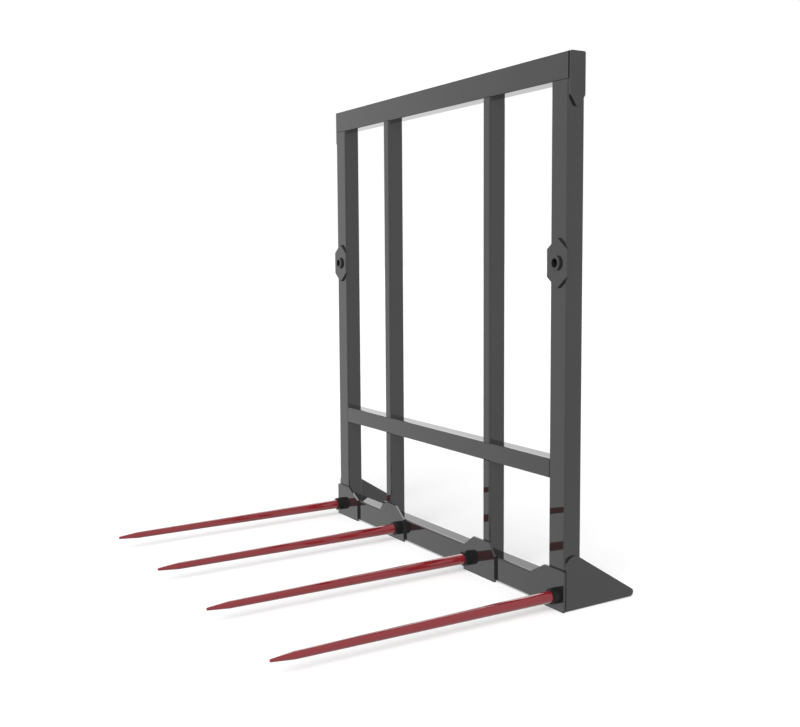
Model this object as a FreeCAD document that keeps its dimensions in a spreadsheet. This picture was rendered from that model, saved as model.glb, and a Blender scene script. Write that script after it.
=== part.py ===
import FreeCAD, Part
import math
import os
import Sketcher

# A bale spear: a welded tube frame that carries four round tines at its foot.
# Lengths are in millimetres. X runs to the right, Y to the rear and Z up.
# The origin is the middle of the bottom rail's underside.

# Driving sizes of the object, each with the words that explain it
SIZES = [
    # The tube frame
    ("frame_width", 1997, "over the outer faces of the outer posts"),
    ("frame_height", 2087, "from the bottom rail's underside to the top of the top rail"),
    ("tube_depth", 76.2, "depth of every tube, front to rear"),
    ("tube_wall", 6.35, "wall of every tube"),
    ("tube_corner", 6, "outside radius of a tube's corners"),
    ("bore_corner", 2, "inside radius of a tube's corners"),
    ("outer_post_width", 101.6, "width of an outer post"),
    ("inner_post_width", 50.8, "width of an inner post"),
    ("inner_post_pitch", 889, "between the middles of the inner posts"),
    ("top_rail_height", 101.6, "height of the top rail's section"),
    ("bottom_rail_height", 101.6, "height of the bottom rail's section"),
    ("cross_rail_height", 76.2, "height of the cross rail's section"),
    ("cross_rail_level", 534.4, "height of the cross rail's mid-line"),
    # The plates that close the rails' ends
    ("side_plate", 9.5, "thickness of the end plates and foot plates"),
    ("side_plate_inset", 3.5, "how far they stand behind the front faces"),
    ("end_plate_drop", 209, "height of an end plate down to where its point's sides would meet"),
    ("end_plate_point", 53, "height of that point"),
    ("end_plate_tip", 13, "radius of the point's tip"),
    ("end_plate_corner", 6, "radius of its upper corners"),
    ("foot_apex", 241, "height at which a foot's slope would meet its front edge"),
    ("foot_drop", 2.7, "how far its front corner reaches below the bottom rail"),
    ("foot_run", 366, "length at which its slope and its sole would meet"),
    ("foot_heel", 11, "height at which they would meet, as the sole rises to the rear"),
    ("foot_crown", 40, "radius of a foot's upper corner"),
    ("foot_tail", 16.5, "radius of a foot's rear end"),
    # The tine plates on the front of the frame
    ("tine_plate", 9.5, "thickness of a tine plate"),
    ("plate_drop", 6, "how far a tine plate reaches below the bottom rail"),
    ("hump_level", 154, "height of a tine plate's top"),
    ("shoulder_level", 102, "height at which its sloping sides start"),
    ("outer_plate_width", 229, "width of an outer tine plate"),
    ("outer_plate_slope", 100, "width of its one sloping side"),
    ("inner_plate_outer_half", 201.5, "from an inner tine's axis to its plate's outer edge"),
    ("inner_plate_inner_half", 45.5, "from an inner tine's axis to its plate's inner edge"),
    ("inner_plate_outer_slope", 43, "width of its steep outer slope"),
    ("inner_plate_inner_slope", 80, "width of its long inner slope"),
    ("plate_corner", 8, "radius of a tine plate's outer corners"),
    # The tines and what holds them
    ("tine_inset", 34, "from the side of the frame to an outer tine's axis"),
    ("tine_level", 54, "height of a tine's axis at the tine plate"),
    ("tine_droop", 1.7, "degrees that a tine points down"),
    ("tine_reach", 1160, "from the tine plate's front to the tip"),
    ("tine_base", 46, "diameter of a tine at its sleeve"),
    ("tine_shoulder", 29, "diameter where the point starts"),
    ("tine_point", 90, "length of the point"),
    ("tine_tip", 11, "diameter of the blunt tip"),
    ("tip_round", 4, "radius of the tip's edge"),
    ("seat_size", 31, "diameter at the rear end of a tine's seat"),
    ("seat_short", 4, "how far the seat ends before the sleeve's rear face"),
    ("thread_size", 28, "diameter of a tine's threaded end"),
    ("thread_spare", 7, "thread that stands out of the nut"),
    ("sleeve_size", 63.5, "outside diameter of a tine sleeve"),
    ("sleeve_proud", 31, "how far a sleeve stands in front of its plate"),
    ("sleeve_behind", 6, "how far it stands out of the bottom rail's rear"),
    ("sleeve_edge", 1.5, "chamfer of a sleeve's outer edges"),
    ("weld_gap", 0.2, "clearance all round a sleeve in its holes"),
    ("taper_gap", 0.25, "clearance all round a tine in its sleeve"),
    ("washer_size", 50, "outside diameter of a washer"),
    ("washer_thickness", 4, "thickness of a washer"),
    ("nut_width", 41, "width across a nut's flats"),
    ("nut_height", 22, "height of a nut"),
    ("nut_chamfer", 2, "height of the chamfer on a nut's corners"),
    ("thread_gap", 0.2, "clearance all round the thread in nut and washer"),
    # The spare sockets half way up the outer posts
    ("socket_level", 1318, "height of the spare sockets"),
    ("socket_inset", 49.5, "from the side of the frame to a spare socket's axis"),
    ("socket_plate", 9.5, "thickness of a socket plate"),
    ("socket_plate_width", 124, "width of a socket plate"),
    ("socket_plate_height", 186, "height of a socket plate"),
    ("socket_plate_side", 104, "height of its upright sides"),
    ("socket_plate_tip", 8, "width of its top and bottom edges"),
    ("socket_size", 57, "outside diameter of a spare socket"),
    ("socket_proud", 11, "how far it stands in front of its plate"),
    ("socket_behind", 4, "how far it stands out of the post's rear"),
    ("socket_edge", 3.5, "chamfer of its front edge"),
    ("socket_mouth", 36, "diameter of its bore at the mouth"),
    ("socket_straight", 30, "length of the straight part of the bore"),
    ("socket_throat", 28, "diameter of the bore at the rear"),
]

doc = FreeCAD.newDocument("BaleSpear")
sheet = doc.addObject("Spreadsheet::Sheet", "Sizes")
for row, (word, size, meaning) in enumerate(SIZES, start=1):
    sheet.set("A%d" % row, meaning)
    sheet.set("B%d" % row, str(size))
    sheet.setAlias("B%d" % row, word)
doc.recompute()

# Levels and edges that follow from the driving sizes, written once for every piece that uses them
FRONT = "(-Sizes.tube_depth / 2)"
REAR = "(Sizes.tube_depth / 2)"
TINE_PLATE_FACE = "(%s - Sizes.tine_plate)" % FRONT
SOCKET_PLATE_FACE = "(%s - Sizes.socket_plate)" % FRONT
TOP_RAIL_BASE = "(Sizes.frame_height - Sizes.top_rail_height)"
CROSS_RAIL_BASE = "(Sizes.cross_rail_level - Sizes.cross_rail_height / 2)"
CROSS_RAIL_TOP = "(Sizes.cross_rail_level + Sizes.cross_rail_height / 2)"
TINE_PITCH = "((Sizes.frame_width - 2 * Sizes.tine_inset) / 3)"
SOCKET_OUTSET = "(Sizes.frame_width / 2 - Sizes.socket_inset)"
OUTER_POST_MIDDLE = "(Sizes.frame_width / 2 - Sizes.outer_post_width / 2)"
OUTER_POST_INSIDE = "(Sizes.frame_width / 2 - Sizes.outer_post_width)"
INNER_POST_MIDDLE = "(Sizes.inner_post_pitch / 2)"
SIDE_FACE = "(Sizes.frame_width / 2 + Sizes.side_plate)"
SIDE_PLATE_FRONT = "(%s + Sizes.side_plate_inset)" % FRONT
SLEEVE_REAR = "(Sizes.tine_plate + Sizes.tube_depth + Sizes.sleeve_behind)"
NUT_FACE = "(%s + Sizes.washer_thickness)" % SLEEVE_REAR
THREAD_END = "(%s + Sizes.nut_height + Sizes.thread_spare)" % NUT_FACE
SOCKET_REAR = "(Sizes.socket_plate + Sizes.tube_depth + Sizes.socket_behind)"
SLEEVE_HOLE = "(Sizes.sleeve_size + 2 * Sizes.weld_gap)"
SOCKET_HOLE = "(Sizes.socket_size + 2 * Sizes.weld_gap)"
SEAT_END = "(%s - Sizes.seat_short)" % SLEEVE_REAR
SIDE_PLATE_FACE = {"left": "-%s" % SIDE_FACE, "right": "Sizes.frame_width / 2"}

SIDES = (("left", -1), ("right", 1))
# The tines from left to right, each with its place counted in tine pitches
TINES = (("left_outer", -1.5), ("left_inner", -0.5), ("right_inner", 0.5), ("right_outer", 1.5))
CUT_MARGIN = 20.0  # extra length of a cutting cylinder beyond what it cuts
SMALL = 1e-6


def value(rule):
    """Works out a rule about the sizes as a number."""
    return float(sheet.evalExpression(rule))


def new_body(label):
    """Starts a piece whose label names its file."""
    body = doc.addObject("PartDesign::Body", label)
    body.Label = label
    return body


def place(body, across="0", depth="0", level="0", tilt=None):
    """Puts a piece at its place; a tilt points its front end down, in degrees."""
    if tilt:
        body.Placement = FreeCAD.Placement(FreeCAD.Vector(), FreeCAD.Rotation(FreeCAD.Vector(1, 0, 0), 1))
        body.setExpression("Placement.Rotation.Angle", tilt)
    for axis, rule in zip("xyz", (across, depth, level)):
        body.setExpression("Placement.Base.%s" % axis, rule)
    return body


def outline(body, name, role, corners):
    """Draws a closed outline on an origin plane, with every corner tied to the sizes."""
    sketch = body.newObject("Sketcher::SketchObject", "%s_%s" % (body.Name, name))
    plane = next(feature for feature in body.Origin.OriginFeatures if feature.Role == role)
    sketch.AttachmentSupport = (plane, [""])
    sketch.MapMode = "FlatFace"
    points = [FreeCAD.Vector(value(across), value(up), 0) for across, up in corners]
    count = len(points)
    for i in range(count):
        sketch.addGeometry(Part.LineSegment(points[i], points[(i + 1) % count]), False)
    for i in range(count):
        sketch.addConstraint(Sketcher.Constraint("Coincident", i, 2, (i + 1) % count, 1))
    for i in range(count):
        for kind, rule, length in zip(("DistanceX", "DistanceY"), corners[i], points[i]):
            index = sketch.addConstraint(Sketcher.Constraint(kind, -1, 1, i, 1, length))
            sketch.setExpression("Constraints[%d]" % index, rule)
    return sketch


def box_corners(width, height):
    """Returns the corners of a rectangle about the sketch's origin."""
    right, top = "%s / 2" % width, "%s / 2" % height
    left, bottom = "-%s" % right, "-%s" % top
    return [(left, bottom), (right, bottom), (right, top), (left, top)]


def pad(body, sketch, length, both_ways=False):
    """Extrudes an outline."""
    feature = body.newObject("PartDesign::Pad", sketch.Name + "_pad")
    feature.Profile = sketch
    feature.Midplane = both_ways
    feature.setExpression("Length", length)
    doc.recompute()
    return feature


def pocket(body, sketch, length):
    """Cuts an outline out of the piece, half of the length to each side of the sketch."""
    before = body.Shape.Volume
    feature = body.newObject("PartDesign::Pocket", sketch.Name + "_pocket")
    feature.Profile = sketch
    feature.Midplane = True
    feature.setExpression("Length", length)
    doc.recompute()
    if feature.Shape.Volume > before - SMALL:
        raise RuntimeError("%s cuts nothing" % feature.Name)
    return feature


def turn(body, sketch, kind="Revolution"):
    """Turns an outline about the sketch's upright axis; kind Groove cuts instead."""
    feature = body.newObject("PartDesign::" + kind, "%s_%s" % (sketch.Name, kind.lower()))
    feature.Profile = sketch
    feature.ReferenceAxis = (sketch, ["V_Axis"])
    feature.Angle = 360
    doc.recompute()
    return feature


def dress(body, name, radius, wanted, kind="Fillet"):
    """Rounds or chamfers the edges of the piece for which wanted(edge) is true."""
    base = body.Tip
    names = ["Edge%d" % (i + 1) for i, edge in enumerate(base.Shape.Edges) if wanted(edge)]
    feature = body.newObject("PartDesign::" + kind, "%s_%s" % (body.Name, name))
    feature.Base = (base, names)
    feature.setExpression("Radius" if kind == "Fillet" else "Size", radius)
    doc.recompute()
    return feature


def runs_along(edge, axis):
    """Tells whether an edge is straight and runs along an axis, such as 'x'."""
    return isinstance(edge.Curve, Part.Line) and abs(abs(getattr(edge.Curve.Direction, axis)) - 1) < SMALL


def tube(label, height, length, upright=False):
    """Makes a hollow tube: a rail along X, or a post that stands on the origin."""
    body = new_body(label)
    role, axis = ("XY_Plane", "z") if upright else ("YZ_Plane", "x")
    sides = [height, "Sizes.tube_depth"] if upright else ["Sizes.tube_depth", height]
    hollow = ["(%s - 2 * Sizes.tube_wall)" % side for side in sides]
    pad(body, outline(body, "outside", role, box_corners(*sides)), length, both_ways=not upright)
    dress(body, "corners", "Sizes.tube_corner", lambda edge: runs_along(edge, axis))
    pocket(body, outline(body, "inside", role, box_corners(*hollow)), "3 * %s" % length)
    inside = value("Sizes.tube_depth / 2 - Sizes.tube_wall")
    dress(body, "inside_corners", "Sizes.bore_corner",
          lambda edge: runs_along(edge, axis) and abs(abs(edge.CenterOfMass.y) - inside) < SMALL)
    return body


def plate(label, role, thickness, corners):
    """Makes a flat plate from corners given as (across, up, radius or None)."""
    body = new_body(label)
    pad(body, outline(body, "shape", role, [corner[:2] for corner in corners]), thickness)
    first, second, axis = {"XZ_Plane": "xzy", "YZ_Plane": "yzx"}[role]
    radii = [corner[2] for corner in corners if corner[2]]
    for number, radius in enumerate(sorted(set(radii))):
        spots = [(value(corner[0]), value(corner[1])) for corner in corners if corner[2] == radius]

        def wanted(edge):
            """Tells whether the edge stands on one of the corners that have this radius."""
            middle = edge.CenterOfMass
            gaps = [math.hypot(getattr(middle, first) - a, getattr(middle, second) - b) for a, b in spots]
            return runs_along(edge, axis) and min(gaps) < SMALL

        dress(body, "corners_%d" % number, radius, wanted)
    return body


def drill(body, name, diameter, length, spot, tilt="0"):
    """Drills a round hole from spot towards the rear; a tilt makes it rise, in degrees."""
    before = body.Shape.Volume
    across, depth, level = spot
    tool = body.newObject("PartDesign::SubtractiveCylinder", "%s_%s" % (body.Name, name))
    tool.setExpression("Radius", "%s / 2" % diameter)
    tool.setExpression("Height", "%s + 2 * %g" % (length, CUT_MARGIN))
    tool.Placement = FreeCAD.Placement(FreeCAD.Vector(), FreeCAD.Rotation(FreeCAD.Vector(-1, 0, 0), 89))
    tool.setExpression("Placement.Rotation.Angle", "90 - %s" % tilt)
    tool.setExpression("Placement.Base.x", across)
    tool.setExpression("Placement.Base.y", "%s - %g * cos(%s)" % (depth, CUT_MARGIN, tilt))
    tool.setExpression("Placement.Base.z", "%s - %g * sin(%s)" % (level, CUT_MARGIN, tilt))
    doc.recompute()
    if tool.Shape.Volume > before - SMALL:
        raise RuntimeError("%s cuts nothing" % tool.Name)
    return tool


def group(label, bodies):
    """Joins like pieces into one sub-part; each stays a solid of its own."""
    compound = doc.addObject("Part::Compound", label)
    compound.Label = label
    compound.Links = bodies
    return compound


def tine_hole(body, name, turns, level="0"):
    """Drills the hole of one tine sleeve through a piece whose origin is at the level given."""
    spot = ("%g * %s" % (turns, TINE_PITCH), TINE_PLATE_FACE, "Sizes.tine_level - %s" % level)
    return drill(body, name, SLEEVE_HOLE, SLEEVE_REAR, spot, "Sizes.tine_droop")


def on_tine(body, turns, along="0"):
    """Sets a piece on a tine's axis, at a length behind the face of the tine plate."""
    return place(body, "%g * %s" % (turns, TINE_PITCH),
                 "%s + %s * cos(Sizes.tine_droop)" % (TINE_PLATE_FACE, along),
                 "Sizes.tine_level + %s * sin(Sizes.tine_droop)" % along, tilt="Sizes.tine_droop")


parts = []

# The three rails
top_rail = tube("top_rail", "Sizes.top_rail_height", "Sizes.frame_width")
place(top_rail, level="%s + Sizes.top_rail_height / 2" % TOP_RAIL_BASE)

cross_rail = tube("cross_rail", "Sizes.cross_rail_height", "(2 * %s)" % OUTER_POST_INSIDE)
place(cross_rail, level="Sizes.cross_rail_level")

bottom_rail = tube("bottom_rail", "Sizes.bottom_rail_height", "Sizes.frame_width")
place(bottom_rail, level="Sizes.bottom_rail_height / 2")
for tine, turns in TINES:
    tine_hole(bottom_rail, "hole_" + tine, turns, "Sizes.bottom_rail_height / 2")
parts += [top_rail, cross_rail, bottom_rail]

for side, sign in SIDES:
    # The outer post with the hole of the spare socket
    post = tube(side + "_outer_post", "Sizes.outer_post_width",
                "(%s - Sizes.bottom_rail_height)" % TOP_RAIL_BASE, upright=True)
    place(post, "%d * %s" % (sign, OUTER_POST_MIDDLE), level="Sizes.bottom_rail_height")
    drill(post, "socket_hole", SOCKET_HOLE, SOCKET_REAR,
          ("%d * (%s - %s)" % (sign, SOCKET_OUTSET, OUTER_POST_MIDDLE), SOCKET_PLATE_FACE,
           "Sizes.socket_level - Sizes.bottom_rail_height"))

    # The inner post, in two lengths that the cross rail parts
    upper = tube(side + "_inner_post_upper", "Sizes.inner_post_width",
                 "(%s - %s)" % (TOP_RAIL_BASE, CROSS_RAIL_TOP), upright=True)
    place(upper, "%d * %s" % (sign, INNER_POST_MIDDLE), level=CROSS_RAIL_TOP)
    lower = tube(side + "_inner_post_lower", "Sizes.inner_post_width",
                 "(%s - Sizes.bottom_rail_height)" % CROSS_RAIL_BASE, upright=True)
    place(lower, "%d * %s" % (sign, INNER_POST_MIDDLE), level="Sizes.bottom_rail_height")

    # The pointed plate that closes the top rail
    side_face = SIDE_PLATE_FACE[side]
    rear = "-%s" % SIDE_PLATE_FRONT
    neck = "(Sizes.end_plate_point - Sizes.end_plate_drop)"
    end_plate = plate(side + "_end_plate", "YZ_Plane", "Sizes.side_plate", [
        (SIDE_PLATE_FRONT, "0", "Sizes.end_plate_corner"),
        (SIDE_PLATE_FRONT, neck, None),
        ("0", "-Sizes.end_plate_drop", "Sizes.end_plate_tip"),
        (rear, neck, None),
        (rear, "0", "Sizes.end_plate_corner")])
    place(end_plate, side_face, level="Sizes.frame_height")

    # The foot that closes the bottom rail and reaches to the rear
    foot_plate = plate(side + "_foot_plate", "YZ_Plane", "Sizes.side_plate", [
        (SIDE_PLATE_FRONT, "-Sizes.foot_drop", None),
        ("%s + Sizes.foot_run" % SIDE_PLATE_FRONT, "Sizes.foot_heel", "Sizes.foot_tail"),
        (SIDE_PLATE_FRONT, "Sizes.foot_apex", "Sizes.foot_crown")])
    place(foot_plate, side_face)

    # The spare socket and the plate around it
    half_width, half_side = "Sizes.socket_plate_width / 2", "Sizes.socket_plate_side / 2"
    half_tip, half_height = "Sizes.socket_plate_tip / 2", "Sizes.socket_plate_height / 2"
    quarter = [(half_width, half_side), (half_tip, half_height)]
    right_half = [(x, "-%s" % z) for x, z in reversed(quarter)] + quarter
    left_half = [("-%s" % x, z) for x, z in reversed(right_half)]
    socket_plate = plate(side + "_socket_plate", "XZ_Plane", "Sizes.socket_plate",
                         [corner + (None,) for corner in right_half + left_half])
    drill(socket_plate, "hole", SOCKET_HOLE, SOCKET_REAR, ("0", "-Sizes.socket_plate", "0"))
    place(socket_plate, "%d * %s" % (sign, SOCKET_OUTSET), FRONT, "Sizes.socket_level")

    socket = new_body(side + "_upper_sleeve")
    turn(socket, outline(socket, "section", "XY_Plane", [
        ("Sizes.socket_mouth / 2", "-Sizes.socket_proud"),
        ("Sizes.socket_size / 2 - Sizes.socket_edge", "-Sizes.socket_proud"),
        ("Sizes.socket_size / 2", "Sizes.socket_edge - Sizes.socket_proud"),
        ("Sizes.socket_size / 2", SOCKET_REAR),
        ("Sizes.socket_throat / 2", SOCKET_REAR),
        ("Sizes.socket_mouth / 2", "Sizes.socket_straight - Sizes.socket_proud")]))
    place(socket, "%d * %s" % (sign, SOCKET_OUTSET), SOCKET_PLATE_FACE, "Sizes.socket_level")
    parts += [post, upper, lower, end_plate, foot_plate, socket_plate, socket]

nuts = []
washers = []
for tine, turns in TINES:
    sign = math.copysign(1, turns)

    # The plate on the front of the bottom rail: the outer ones slope on one side, the inner ones on both
    if "outer" in tine:
        inner_edge = "(%s - Sizes.outer_plate_width)" % SIDE_FACE
        shape = [(SIDE_FACE, "-Sizes.plate_drop", None),
                 (SIDE_FACE, "Sizes.hump_level", "Sizes.plate_corner"),
                 ("(%s + Sizes.outer_plate_slope)" % inner_edge, "Sizes.hump_level", None),
                 (inner_edge, "Sizes.shoulder_level", None),
                 (inner_edge, "-Sizes.plate_drop", None)]
    else:
        outer_edge = "(%s / 2 + Sizes.inner_plate_outer_half)" % TINE_PITCH
        inner_edge = "(%s / 2 - Sizes.inner_plate_inner_half)" % TINE_PITCH
        shape = [(outer_edge, "-Sizes.plate_drop", None),
                 (outer_edge, "Sizes.shoulder_level", None),
                 ("(%s - Sizes.inner_plate_outer_slope)" % outer_edge, "Sizes.hump_level", None),
                 ("(%s + Sizes.inner_plate_inner_slope)" % inner_edge, "Sizes.hump_level", None),
                 (inner_edge, "Sizes.shoulder_level", None),
                 (inner_edge, "-Sizes.plate_drop", None)]
    tine_plate = plate(tine + "_tine_plate", "XZ_Plane", "Sizes.tine_plate",
                       [("%d * %s" % (sign, x), z, radius) for x, z, radius in shape])
    drill(tine_plate, "hole", SLEEVE_HOLE, SLEEVE_REAR,
          ("%g * %s" % (turns, TINE_PITCH), "-Sizes.tine_plate", "Sizes.tine_level"), "Sizes.tine_droop")
    place(tine_plate, depth=FRONT)

    # The sleeve, with a taper inside that the tine is drawn into
    sleeve = new_body(tine + "_tine_sleeve")
    turn(sleeve, outline(sleeve, "section", "XY_Plane", [
        ("Sizes.tine_base / 2 + Sizes.taper_gap", "-Sizes.sleeve_proud"),
        ("Sizes.sleeve_size / 2 - Sizes.sleeve_edge", "-Sizes.sleeve_proud"),
        ("Sizes.sleeve_size / 2", "Sizes.sleeve_edge - Sizes.sleeve_proud"),
        ("Sizes.sleeve_size / 2", SLEEVE_REAR),
        ("Sizes.seat_size / 2 + Sizes.taper_gap", SLEEVE_REAR),
        ("Sizes.seat_size / 2 + Sizes.taper_gap", SEAT_END)]))
    on_tine(sleeve, turns)

    # The tine: a long cone with a blunt point, its seat and its threaded end
    spear = new_body(tine + "_tine")
    turn(spear, outline(spear, "section", "XY_Plane", [
        ("0", "-Sizes.tine_reach"),
        ("Sizes.tine_tip / 2", "-Sizes.tine_reach"),
        ("Sizes.tine_shoulder / 2", "Sizes.tine_point - Sizes.tine_reach"),
        ("Sizes.tine_base / 2", "-Sizes.sleeve_proud"),
        ("Sizes.seat_size / 2", SEAT_END),
        ("Sizes.thread_size / 2", SEAT_END),
        ("Sizes.thread_size / 2", THREAD_END),
        ("0", THREAD_END)]))
    tip = value("-Sizes.tine_reach")
    dress(spear, "tip", "Sizes.tip_round",
          lambda edge: isinstance(edge.Curve, Part.Circle) and abs(edge.CenterOfMass.y - tip) < SMALL)
    on_tine(spear, turns)

    # The washer and the nut that hold the tine behind the rail
    washer = new_body("washer_" + tine)
    turn(washer, outline(washer, "section", "XY_Plane", [
        ("Sizes.thread_size / 2 + Sizes.thread_gap", SLEEVE_REAR),
        ("Sizes.washer_size / 2", SLEEVE_REAR),
        ("Sizes.washer_size / 2", NUT_FACE),
        ("Sizes.thread_size / 2 + Sizes.thread_gap", NUT_FACE)]))
    on_tine(washer, turns)
    washers.append(washer)

    nut = new_body("nut_" + tine)
    half_flat, half_corner = "Sizes.nut_width / 2", "Sizes.nut_width / sqrt(3)"
    quarter_corner = "Sizes.nut_width / sqrt(3) / 2"
    hexagon = [(half_corner, "0"), (quarter_corner, half_flat), ("-" + quarter_corner, half_flat),
               ("-" + half_corner, "0"), ("-" + quarter_corner, "-" + half_flat),
               (quarter_corner, "-" + half_flat)]
    pad(nut, outline(nut, "hexagon", "XZ_Plane", hexagon), "Sizes.nut_height")
    turn(nut, outline(nut, "corner_cut", "XY_Plane", [
        (half_flat, "0"), ("%s + Sizes.nut_chamfer" % half_corner, "0"),
        ("%s + Sizes.nut_chamfer" % half_corner, "-Sizes.nut_chamfer"),
        (half_corner, "-Sizes.nut_chamfer")]), kind="Groove")
    drill(nut, "bore", "(Sizes.thread_size + 2 * Sizes.thread_gap)", "Sizes.nut_height",
          ("0", "-Sizes.nut_height", "0"))
    on_tine(nut, turns, "(%s + Sizes.nut_height)" % NUT_FACE)
    nuts.append(nut)
    parts += [tine_plate, sleeve, spear]

parts += [group("tine_washers", washers), group("tine_nuts", nuts)]
doc.recompute()

# Every piece is checked before any file is written
for feature in doc.Objects:
    if {"Invalid", "Error"} & set(feature.State):
        raise RuntimeError("%s could not be built" % feature.Name)
for part in parts:
    if part.Shape.isNull() or not part.Shape.isValid():
        raise RuntimeError("%s has a bad shape" % part.Label)

os.makedirs("parts", exist_ok=True)
for part in parts:
    part.Shape.exportStep("parts/%s.step" % part.Label)
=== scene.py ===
"""Bale spear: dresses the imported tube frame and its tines, and sets the floor, light and camera."""

import logging
import math
from dataclasses import dataclass
from enum import Enum

import bpy
from mathutils import Matrix, Vector


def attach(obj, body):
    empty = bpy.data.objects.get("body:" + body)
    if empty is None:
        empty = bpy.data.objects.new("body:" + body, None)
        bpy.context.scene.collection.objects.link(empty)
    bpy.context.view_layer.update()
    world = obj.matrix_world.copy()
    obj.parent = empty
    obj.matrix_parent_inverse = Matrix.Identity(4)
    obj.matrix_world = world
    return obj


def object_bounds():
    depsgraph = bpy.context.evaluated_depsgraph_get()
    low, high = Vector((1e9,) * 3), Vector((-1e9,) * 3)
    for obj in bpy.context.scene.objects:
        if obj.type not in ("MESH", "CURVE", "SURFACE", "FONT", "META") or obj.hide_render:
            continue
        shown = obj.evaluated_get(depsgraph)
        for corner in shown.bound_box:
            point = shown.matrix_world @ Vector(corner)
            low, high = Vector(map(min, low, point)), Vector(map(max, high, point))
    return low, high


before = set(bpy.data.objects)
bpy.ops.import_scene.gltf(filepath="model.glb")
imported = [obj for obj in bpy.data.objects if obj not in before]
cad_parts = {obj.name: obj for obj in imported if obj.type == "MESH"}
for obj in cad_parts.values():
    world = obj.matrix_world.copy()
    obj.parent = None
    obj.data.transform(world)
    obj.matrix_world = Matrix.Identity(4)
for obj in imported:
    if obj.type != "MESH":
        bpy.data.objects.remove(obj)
cad_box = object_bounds()

LOG = logging.getLogger("bale_spear")
MM = 0.001
NOISE_RANGE = (0.35, 0.65)
WHITE = (1.0, 1.0, 1.0, 1.0)


class Side(Enum):
    """The side of the frame that a piece is on, as seen from the tines."""

    LEFT = "left"
    RIGHT = "right"


class TinePlace(Enum):
    """The four places along the bottom rail that hold a tine, from left to right."""

    LEFT_OUTER = "left_outer"
    LEFT_INNER = "left_inner"
    RIGHT_INNER = "right_inner"
    RIGHT_OUTER = "right_outer"


class NodeTree:
    """A small helper that adds shader nodes and links them."""

    def __init__(self, owner: bpy.types.ID, output: str = "ShaderNodeOutputMaterial") -> None:
        """Empties the tree of a material or of the surroundings.

        Args:
            owner: The material or the surroundings to work on.
            output: The type of the output node.
        """
        owner.use_nodes = True
        self.tree = owner.node_tree
        self.tree.nodes.clear()
        self.output = self.add(output)

    def add(self, kind: str, **inputs: object) -> bpy.types.Node:
        """Adds a node and sets its inputs, with underscores for spaces in their names.

        Args:
            kind: The node's type.
            inputs: Values of its inputs.

        Returns:
            The new node.
        """
        node = self.tree.nodes.new(kind)
        for name, value in inputs.items():
            node.inputs[name.replace("_", " ")].default_value = value
        return node

    def link(self, source: bpy.types.NodeSocket, target: bpy.types.NodeSocket) -> None:
        """Joins an output to an input."""
        self.tree.links.new(source, target)

    def finish(self, surface: bpy.types.NodeSocket) -> None:
        """Joins the last shader to the output node."""
        self.link(surface, self.output.inputs["Surface"])

    def object_noise(self, scale: float, detail: float) -> bpy.types.NodeSocket:
        """Adds a noise that is fixed to the object's own place.

        Args:
            scale: How many cells of the noise fit in a metre.
            detail: How many finer layers it has.

        Returns:
            The noise's value.
        """
        place = self.add("ShaderNodeTexCoord")
        noise = self.add("ShaderNodeTexNoise", Scale=scale, Detail=detail)
        self.link(place.outputs["Object"], noise.inputs["Vector"])
        return noise.outputs["Fac"]

    def mapped(self, source: bpy.types.NodeSocket, before: tuple[float, float],
               after: tuple[float, float]) -> bpy.types.NodeSocket:
        """Maps one range of values to another.

        Args:
            source: The value.
            before: The ends of its own range.
            after: The ends of the new range.

        Returns:
            The mapped value.
        """
        node = self.add("ShaderNodeMapRange", From_Min=before[0], From_Max=before[1],
                        To_Min=after[0], To_Max=after[1])
        self.link(source, node.inputs["Value"])
        return node.outputs["Result"]

    def tints(self, source: bpy.types.NodeSocket, dark: tuple[float, ...],
              light: tuple[float, ...]) -> bpy.types.NodeSocket:
        """Mixes two colours by a value.

        Args:
            source: The value, from 0 to 1.
            dark: The colour at 0.
            light: The colour at 1.

        Returns:
            The mixed colour.
        """
        mix = self.add("ShaderNodeMix")
        mix.data_type = "RGBA"
        ends = [socket for socket in mix.inputs if socket.type == "RGBA"]
        for end, colour in zip(ends, (dark, light)):
            end.default_value = (*colour, 1.0)
        self.link(source, mix.inputs["Factor"])
        return next(socket for socket in mix.outputs if socket.type == "RGBA")

    def bump(self, height: bpy.types.NodeSocket, depth: float,
             strength: float = 1.0) -> bpy.types.NodeSocket:
        """Turns a height into the slope of a surface.

        Args:
            height: The height, from 0 to 1.
            depth: How far 1 rises, in metres.
            strength: How much of it counts.

        Returns:
            The surface's direction.
        """
        node = self.add("ShaderNodeBump", Distance=depth, Strength=strength)
        self.link(height, node.inputs["Height"])
        return node.outputs["Normal"]

    def highest(self, values: list) -> bpy.types.NodeSocket:
        """Gives the highest of several values.

        Args:
            values: The outputs to compare.

        Returns:
            The highest value.
        """
        top = values[0]
        for value in values[1:]:
            node = self.add("ShaderNodeMath")
            node.operation = "MAXIMUM"
            self.link(top, node.inputs[0])
            self.link(value, node.inputs[1])
            top = node.outputs[0]
        return top

    def mixed(self, share: bpy.types.NodeSocket, first: bpy.types.NodeSocket,
              second: bpy.types.NodeSocket) -> bpy.types.NodeSocket:
        """Mixes two shaders.

        Args:
            share: How much of the second is taken.
            first: The first shader.
            second: The second shader.

        Returns:
            The mixed shader.
        """
        node = self.add("ShaderNodeMixShader")
        for source, target in zip((share, first, second), node.inputs):
            self.link(source, target)
        return node.outputs[0]


@dataclass(frozen=True)
class Finish:
    """A finish that a piece can wear.

    Attributes:
        name: The material's name.
        shade: The colour where the coat is darkest.
        tint: The colour where it is lightest.
        polish: The least and the most roughness.
    """

    name: str
    shade: tuple[float, ...]
    tint: tuple[float, ...]
    polish: tuple[float, float]

    def material(self) -> bpy.types.Material:
        """Builds the finish's material."""
        raise NotImplementedError


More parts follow.
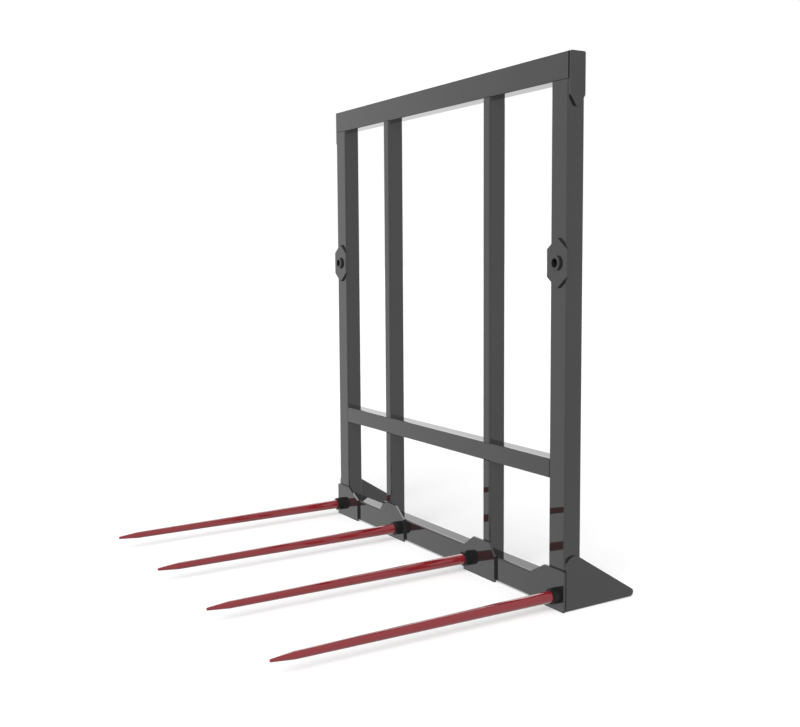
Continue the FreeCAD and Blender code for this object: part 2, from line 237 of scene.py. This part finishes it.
@dataclass(frozen=True)
class GlossPaint(Finish):
    """A smooth gloss paint with a faint orange peel.

    Attributes:
        index: Its index of refraction.
        edge_shine: How much more it mirrors where it is seen edge on.
        edge_start: How far from facing the viewer that starts.
        film_noise: Cells in a metre and finer layers of the coat's thickness.
        haze_noise: The same for its roughness.
        peel_noise: The same for the orange peel.
        peel_depth: How far the peel's bumps rise, in metres.
    """

    index: float = 1.5
    edge_shine: float = 0.0
    edge_start: float = 0.76
    film_noise: tuple[float, float] = (2.4, 3.0)
    haze_noise: tuple[float, float] = (6.0, 4.0)
    peel_noise: tuple[float, float] = (160.0, 1.0)
    peel_depth: float = 0.004 * MM

    def material(self) -> bpy.types.Material:
        """Builds the paint's material.

        Returns:
            The material.
        """
        material = bpy.data.materials.new(self.name)
        tree = NodeTree(material)
        shader = tree.add("ShaderNodeBsdfPrincipled", IOR=self.index, Metallic=0.0)
        film = tree.mapped(tree.object_noise(*self.film_noise), NOISE_RANGE, (0.0, 1.0))
        tree.link(tree.tints(film, self.shade, self.tint), shader.inputs["Base Color"])
        haze = tree.mapped(tree.object_noise(*self.haze_noise), NOISE_RANGE, self.polish)
        tree.link(haze, shader.inputs["Roughness"])
        peel = tree.object_noise(*self.peel_noise)
        tree.link(tree.bump(peel, self.peel_depth), shader.inputs["Normal"])
        gloss = tree.add("ShaderNodeBsdfGlossy", Roughness=self.polish[0])
        facing = tree.add("ShaderNodeLayerWeight", Blend=0.5)
        rim = tree.mapped(facing.outputs["Facing"], (self.edge_start, 1.0), (0.0, self.edge_shine))
        tree.finish(tree.mixed(rim, shader.outputs["BSDF"], gloss.outputs[0]))
        return material


@dataclass(frozen=True)
class ZincPlate(Finish):
    """Bright zinc on turned steel, with cloudy patches and a fine grain.

    Attributes:
        cloud_noise: Cells in a metre and finer layers of the patches.
        grain_noise: The same for the grain.
        grain_depth: How far the grain rises, in metres.
        grain_strength: How much of the grain counts.
    """

    cloud_noise: tuple[float, float] = (90.0, 4.0)
    grain_noise: tuple[float, float] = (1400.0, 2.0)
    grain_depth: float = 0.02 * MM
    grain_strength: float = 0.6

    def material(self) -> bpy.types.Material:
        """Builds the zinc's material.

        Returns:
            The material.
        """
        material = bpy.data.materials.new(self.name)
        tree = NodeTree(material)
        shader = tree.add("ShaderNodeBsdfPrincipled", Metallic=1.0)
        cloud = tree.object_noise(*self.cloud_noise)
        patches = tree.mapped(cloud, NOISE_RANGE, (0.0, 1.0))
        tree.link(tree.tints(patches, self.shade, self.tint), shader.inputs["Base Color"])
        tree.link(tree.mapped(cloud, NOISE_RANGE, self.polish), shader.inputs["Roughness"])
        grain = tree.object_noise(*self.grain_noise)
        tree.link(tree.bump(grain, self.grain_depth, self.grain_strength), shader.inputs["Normal"])
        tree.finish(shader.outputs["BSDF"])
        return material


BLACK_PAINT = GlossPaint("black_paint", shade=(0.0135, 0.0135, 0.0138), tint=(0.0155, 0.0155, 0.0158),
                         polish=(0.01, 0.03), index=1.6, edge_shine=0.85)
DULL_BLACK = GlossPaint("sleeve_black", shade=(0.0105, 0.0105, 0.0107), tint=(0.0135, 0.0135, 0.0137),
                        polish=(0.2, 0.3), index=1.2)
RED_PAINT = GlossPaint("red_paint", shade=(0.176, 0.007, 0.011), tint=(0.189, 0.009, 0.013),
                       polish=(0.03, 0.06), index=1.56)
ZINC = ZincPlate("zinc_fasteners", shade=(0.42, 0.43, 0.44), tint=(0.62, 0.62, 0.60),
                 polish=(0.28, 0.46))


@dataclass(frozen=True)
class BrokenEdge:
    """The small round that paint and a file leave on a steel edge.

    Attributes:
        width: How far the round reaches from the edge, in metres.
        steps: How many facets it has.
        least_angle: The least angle of an edge that it is put on, in degrees.
    """

    width: float
    steps: int = 2
    least_angle: float = 50.0

    def put_on(self, shape: bpy.types.Object) -> None:
        """Rounds the edges of a shape.

        Args:
            shape: The shape.
        """
        bevel = shape.modifiers.new("broken_edge", "BEVEL")
        bevel.width = self.width
        bevel.segments = self.steps
        bevel.limit_method = "ANGLE"
        bevel.angle_limit = math.radians(self.least_angle)
        bevel.use_clamp_overlap = True
        bevel.harden_normals = True


SAWN_EDGE = BrokenEdge(0.8 * MM)
CUT_EDGE = BrokenEdge(1.0 * MM)


class Wardrobe:
    """Makes each finish once and puts it on the frame's nodes."""

    def __init__(self) -> None:
        """Starts with no material made."""
        self.made: dict[str, bpy.types.Material] = {}

    def material(self, finish: Finish) -> bpy.types.Material:
        """Gives the material of a finish.

        Args:
            finish: The finish.

        Returns:
            Its one material.
        """
        if finish.name not in self.made:
            self.made[finish.name] = finish.material()
        return self.made[finish.name]

    def dress(self, node: str, finish: Finish, edge: BrokenEdge | None = None) -> None:
        """Puts a finish on a node of the frame, and rounds its edges if it has sharp ones.

        Args:
            node: The node's name.
            finish: The finish.
            edge: The round on its edges.
        """
        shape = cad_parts[node]
        for slot in shape.material_slots:
            slot.material = self.material(finish)
        if edge:
            edge.put_on(shape)
        LOG.info("%s wears %s", node, finish.name)


@dataclass
class TubeFrame:
    """The welded tube frame with its end plates and feet.

    Attributes:
        rails: The nodes of the three rails.
        side_pieces: What each side has, without the side's name.
    """

    rails: tuple[str, ...] = ("top_rail", "cross_rail", "bottom_rail")
    side_pieces: tuple[str, ...] = ("outer_post", "inner_post_upper", "inner_post_lower", "end_plate",
                                    "foot_plate")

    def build(self, wardrobe: Wardrobe) -> None:
        """Dresses the frame in black paint.

        Args:
            wardrobe: Where the finishes come from.
        """
        for node in self.rails:
            wardrobe.dress(node, BLACK_PAINT, SAWN_EDGE)
        for side in Side:
            for piece in self.side_pieces:
                wardrobe.dress(f"{side.value}_{piece}", BLACK_PAINT, CUT_EDGE)


@dataclass
class SpareSockets:
    """The open sockets half way up the outer posts.

    Attributes:
        pieces: What each side has, without the side's name.
    """

    pieces: tuple[str, ...] = ("socket_plate", "upper_sleeve")

    def build(self, wardrobe: Wardrobe) -> None:
        """Dresses the sockets in black paint.

        Args:
            wardrobe: Where the finishes come from.
        """
        for side in Side:
            for piece in self.pieces:
                wardrobe.dress(f"{side.value}_{piece}", BLACK_PAINT, CUT_EDGE)


@dataclass
class ThreadedEnd:
    """The end of a tine's thread, which stands out of its nut behind the rail.

    Attributes:
        place: Which tine it belongs to.
        droop: How far the tine points down, in degrees.
        spare: How far the thread stands out of the nut, in metres.
        lead: How far one turn of the thread climbs, in metres.
        ridge: How far the ridges stand out of the thread's core, in metres.
        chamfer: The chamfer at the end, in metres.
        skin: How far the end face lies outside the tine's, in metres.
        closeness: How near a corner of the tine is to its end face to count as on it, in metres.
        around: How many facets go around.
        rings: How many rings go along.
    """

    place: TinePlace
    droop: float = 1.7
    spare: float = 7.0 * MM
    lead: float = 3.0 * MM
    ridge: float = 0.9 * MM
    chamfer: float = 1.2 * MM
    skin: float = 0.15 * MM
    closeness: float = 0.01 * MM
    around: int = 48
    rings: int = 36

    def build(self, wardrobe: Wardrobe) -> None:
        """Winds the ridges around the tine's end.

        Args:
            wardrobe: Where the finishes come from.
        """
        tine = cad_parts[f"{self.place.value}_tine"]
        tilt = math.radians(self.droop)
        axis = Vector((0.0, math.cos(tilt), math.sin(tilt)))
        points = [tine.matrix_world @ corner.co for corner in tine.data.vertices]
        end = max(point.dot(axis) for point in points)
        rim = [point for point in points if end - point.dot(axis) < self.closeness]
        centre = Vector([(max(p[i] for p in rim) + min(p[i] for p in rim)) / 2 for i in range(3)])
        core = max((point - centre).length for point in rim)
        across = Vector((1.0, 0.0, 0.0))
        up = across.cross(axis)
        reach = self.spare + self.skin
        corners = [centre - axis * self.spare]
        for ring in range(self.rings + 1):
            along = reach * ring / self.rings
            for step in range(self.around):
                turn = step / self.around
                angle = math.tau * turn
                radius = core + self._height(along, turn, reach)
                out = across * math.cos(angle) + up * math.sin(angle)
                corners.append(centre + axis * (along - self.spare) + out * radius)
        corners.append(centre + axis * self.skin)
        mesh = bpy.data.meshes.new(f"{self.place.value}_tine_thread")
        mesh.from_pydata(corners, [], self._faces(len(corners) - 1))
        mesh.materials.append(wardrobe.material(ZINC))
        thread = bpy.data.objects.new(mesh.name, mesh)
        bpy.context.scene.collection.objects.link(thread)
        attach(thread, "root")
        LOG.info("%s stands %.1f mm out of its nut", mesh.name, self.spare / MM)

    def _height(self, along: float, turn: float, reach: float) -> float:
        """Gives how far the surface stands out of the core at a point of the thread.

        Args:
            along: How far the point is from the nut, in metres.
            turn: How far around it is, in turns.
            reach: The thread's whole length, in metres.

        Returns:
            The height in metres, which is less than nothing in the chamfer.
        """
        phase = (along / self.lead - turn) % 1.0
        height = self.skin + (self.ridge - self.skin) * (1.0 - abs(2.0 * phase - 1.0))
        return min(height, self.ridge - self.chamfer + (reach - along))

    def _faces(self, last: int) -> list:
        """Joins the rings to a closed skin.

        Args:
            last: The number of the end face's centre.

        Returns:
            The faces.
        """
        faces = []
        for step in range(self.around):
            after = (step + 1) % self.around
            faces.append((0, 1 + after, 1 + step))
            for ring in range(self.rings):
                low, high = 1 + ring * self.around, 1 + (ring + 1) * self.around
                faces.append((low + step, low + after, high + after, high + step))
            top = 1 + self.rings * self.around
            faces.append((top + step, top + after, last))
        return faces


@dataclass
class TineRow:
    """The row of tines with their plates, sleeves, washers, nuts and threads."""

    def build(self, wardrobe: Wardrobe) -> None:
        """Dresses each tine and what holds it.

        Args:
            wardrobe: Where the finishes come from.
        """
        for place in TinePlace:
            wardrobe.dress(f"{place.value}_tine_plate", BLACK_PAINT, CUT_EDGE)
            wardrobe.dress(f"{place.value}_tine_sleeve", DULL_BLACK, CUT_EDGE)
            wardrobe.dress(f"{place.value}_tine", RED_PAINT)
            ThreadedEnd(place).build(wardrobe)
        for node in ("tine_washers", "tine_nuts"):
            wardrobe.dress(node, ZINC)


@dataclass
class Studio:
    """A plain white floor under soft light.

    Attributes:
        floor_half: Half of the floor's side, in metres.
        floor_level: Its level under the tine plates, which stand on it.
        floor_line: How far back that line is.
        floor_slope: How it rises to the rear, in degrees, so that the feet's soles lie along it.
        floor_shade: The floor's own colour, as a grey.
        floor_lift: What the floor adds where it is seen directly or in a gloss, to come to white.
        sky: How strongly the surroundings light the object.
        sun: The strength of the soft sun.
        sun_aim: The direction in which its light falls.
        sun_spread: Its width in degrees, which sets how soft the shadows are.
        box_way: The direction from the object to the large soft box, which draws the light lines
            along the tines' upper sides.
        box_far: How far away the soft box hangs, in metres.
        box_size: Its width and height, in metres.
        box_power: Its power, in watts.
    """

    floor_half: float = 60.0
    floor_level: float = cad_box[0][2]
    floor_line: float = -0.0381
    floor_slope: float = 1.9
    floor_shade: float = 0.8
    floor_lift: float = 0.31
    sky: float = 0.45
    sun: float = 3.2
    sun_aim: tuple[float, ...] = (-1.0, 0.85, -0.8)
    sun_spread: float = 55.0
    box_way: tuple[float, ...] = (-0.343, 0.672, 0.656)
    box_far: float = 9.0
    box_size: tuple[float, ...] = (18.0, 6.9)
    box_power: float = 935.0

    def build(self) -> None:
        """Builds the floor, the surroundings, the sun and the soft box."""
        self._floor()
        self._sky()
        self._sun()
        self._soft_box()

    def _seen(self, tree: NodeTree, kinds: tuple[str, ...]) -> bpy.types.NodeSocket:
        """Gives 1 for rays of the named kinds and 0 for others.

        Args:
            tree: The tree to work in.
            kinds: The kinds of ray.

        Returns:
            The value's output.
        """
        path = tree.add("ShaderNodeLightPath")
        return tree.highest([path.outputs[f"Is {kind} Ray"] for kind in kinds])

    def _floor(self) -> None:
        """Lays the floor under the object."""
        half = self.floor_half
        mesh = bpy.data.meshes.new("floor")
        rise = math.tan(math.radians(self.floor_slope))
        corners = [(x, y, self.floor_level + rise * (y - self.floor_line))
                   for x, y in ((-half, -half), (half, -half), (half, half), (-half, half))]
        mesh.from_pydata(corners, [], [(0, 1, 2, 3)])
        floor = bpy.data.objects.new("floor", mesh)
        bpy.context.scene.collection.objects.link(floor)
        material = bpy.data.materials.new("floor_white")
        tree = NodeTree(material)
        matt = tree.add("ShaderNodeBsdfDiffuse", Color=(*[self.floor_shade] * 3, 1.0))
        seen = self._seen(tree, ("Camera", "Glossy", "Transmission"))
        glow = tree.add("ShaderNodeEmission", Color=WHITE)
        tree.link(tree.mapped(seen, (0.0, 1.0), (0.0, self.floor_lift)), glow.inputs["Strength"])
        lit = tree.add("ShaderNodeAddShader")
        tree.link(matt.outputs[0], lit.inputs[0])
        tree.link(glow.outputs[0], lit.inputs[1])
        mirrored = tree.add("ShaderNodeEmission", Color=WHITE, Strength=1.0)
        in_gloss = self._seen(tree, ("Glossy",))
        tree.finish(tree.mixed(in_gloss, lit.outputs[0], mirrored.outputs[0]))
        mesh.materials.append(material)
        LOG.info("floor at %.4f m under the tine plates", self.floor_level)

    def _sky(self) -> None:
        """Makes the surroundings white where they are seen and softer where they light."""
        world = bpy.data.worlds.new("surroundings")
        bpy.context.scene.world = world
        tree = NodeTree(world, "ShaderNodeOutputWorld")
        seen = self._seen(tree, ("Camera", "Glossy"))
        back = tree.add("ShaderNodeBackground", Color=WHITE)
        tree.link(tree.mapped(seen, (0.0, 1.0), (self.sky, 1.0)), back.inputs["Strength"])
        tree.finish(back.outputs[0])

    def _sun(self) -> None:
        """Hangs the soft sun."""
        light = bpy.data.lights.new("soft_sun", "SUN")
        light.energy = self.sun
        light.angle = math.radians(self.sun_spread)
        lamp = bpy.data.objects.new("soft_sun", light)
        lamp.rotation_mode = "QUATERNION"
        lamp.rotation_quaternion = Vector(self.sun_aim).to_track_quat("-Z", "Y")
        lamp.visible_glossy = False
        bpy.context.scene.collection.objects.link(lamp)

    def _soft_box(self) -> None:
        """Hangs the large soft box behind the frame's left side."""
        light = bpy.data.lights.new("soft_box", "AREA")
        light.shape = "RECTANGLE"
        light.size, light.size_y = self.box_size
        light.energy = self.box_power
        lamp = bpy.data.objects.new("soft_box", light)
        way = Vector(self.box_way).normalized()
        lamp.rotation_mode = "QUATERNION"
        lamp.rotation_quaternion = (-way).to_track_quat("-Z", "Y")
        lamp.location = way * self.box_far
        lamp.visible_camera = False
        lamp.visible_diffuse = False
        bpy.context.scene.collection.objects.link(lamp)


@dataclass
class ViewCamera:
    """The camera at the photograph's viewing angle.

    Attributes:
        place: Where it stands, in metres.
        turn: Its turn to the left of the rearward direction, in degrees.
        rise: How far it looks up, in degrees.
        lens: Its focal length, in millimetres.
        shift: Its shift in x and y, as shares of the picture's width.
        sensor: The sensor's width, in millimetres.
        far: The farthest distance that it shows, in metres.
    """

    place: tuple[float, ...] = (4.3211, -2.4955, 1.3168)
    turn: float = 58.118
    rise: float = -5.661
    lens: float = 49.98
    shift: tuple[float, float] = (-0.0959, 0.01244)
    sensor: float = 36.0
    far: float = 200.0

    def build(self) -> None:
        """Makes it the scene's camera."""
        data = bpy.data.cameras.new("camera")
        data.sensor_width = self.sensor
        data.lens = self.lens
        data.shift_x, data.shift_y = self.shift
        data.clip_end = self.far
        camera = bpy.data.objects.new("camera", data)
        bpy.context.scene.collection.objects.link(camera)
        turn, rise = math.radians(self.turn), math.radians(self.rise)
        ahead = Vector((-math.sin(turn) * math.cos(rise), math.cos(turn) * math.cos(rise),
                        math.sin(rise)))
        right = Vector((math.cos(turn), math.sin(turn), 0.0))
        up = right.cross(ahead)
        facing = Matrix((right, up, -ahead)).transposed().to_4x4()
        camera.matrix_world = Matrix.Translation(self.place) @ facing
        bpy.context.scene.camera = camera


def main() -> None:
    """Builds the dressed frame, its studio and the camera in order."""
    logging.basicConfig(level=logging.INFO, format="%(name)s: %(message)s")
    wardrobe = Wardrobe()
    for assembly in (TubeFrame(), SpareSockets(), TineRow()):
        assembly.build(wardrobe)
    Studio().build()
    ViewCamera().build()
    bpy.context.scene.view_settings.view_transform = "Standard"


if __name__ == "__main__":
    main()
